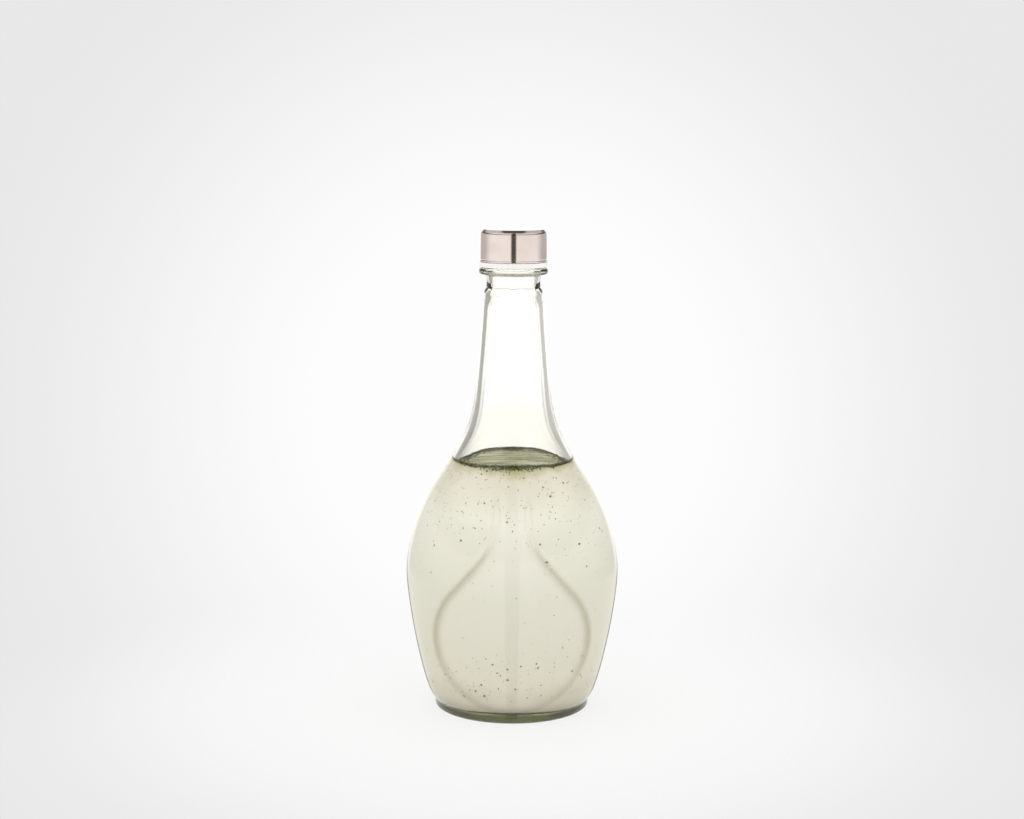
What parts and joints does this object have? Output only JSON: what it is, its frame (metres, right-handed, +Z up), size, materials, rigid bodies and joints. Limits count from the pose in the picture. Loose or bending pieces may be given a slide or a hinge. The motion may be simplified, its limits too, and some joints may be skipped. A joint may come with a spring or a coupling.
{
  "type": "yogurt drink bottle",
  "caption": "Pear-shaped clear glass bottle with a four-sided neck and drop-shaped panels, a metal-covered screw cap with a tamper band, and a cloudy herb drink inside.",
  "frame": {"origin": "centre of the base, on the plane of the bearing ring that stands on the table", "axes": "+Z up along the bottle and the cap's thread, -Y towards the viewer of the front panel"},
  "size_m": [0.094, 0.0918, 0.2127],
  "materials": {
    "clear_glass": "gloss",
    "cloudy_drink": "gloss",
    "dark_herbs": "matte",
    "white_plastic": "satin",
    "liner_foam": "matte",
    "warm_silver": "satin"
  },
  "bodies": {
    "bottle": {"glass_bottle": "clear_glass", "drink": "cloudy_drink", "floating_herbs": "dark_herbs", "tamper_band": "white_plastic"},
    "liner": {"sealing_liner": "liner_foam"},
    "cap": {"inner_cap": "white_plastic", "cap_shell": "warm_silver"}
  },
  "joints": [
    {"name": "cap_lift", "type": "slide", "parent": "bottle", "child": "liner", "axis": [0, 0, 1], "range_m": [0, 0.012]},
    {"name": "cap_turn", "type": "hinge", "parent": "liner", "child": "cap", "pos_m": [0, 0, 0.2], "axis": [0, 0, 1], "range_deg": [0, 1350]}
  ],
  "couplings": [
    {"joint": "cap_lift", "follows": "cap_turn", "m_per_rad": 0.00050611}
  ]
}
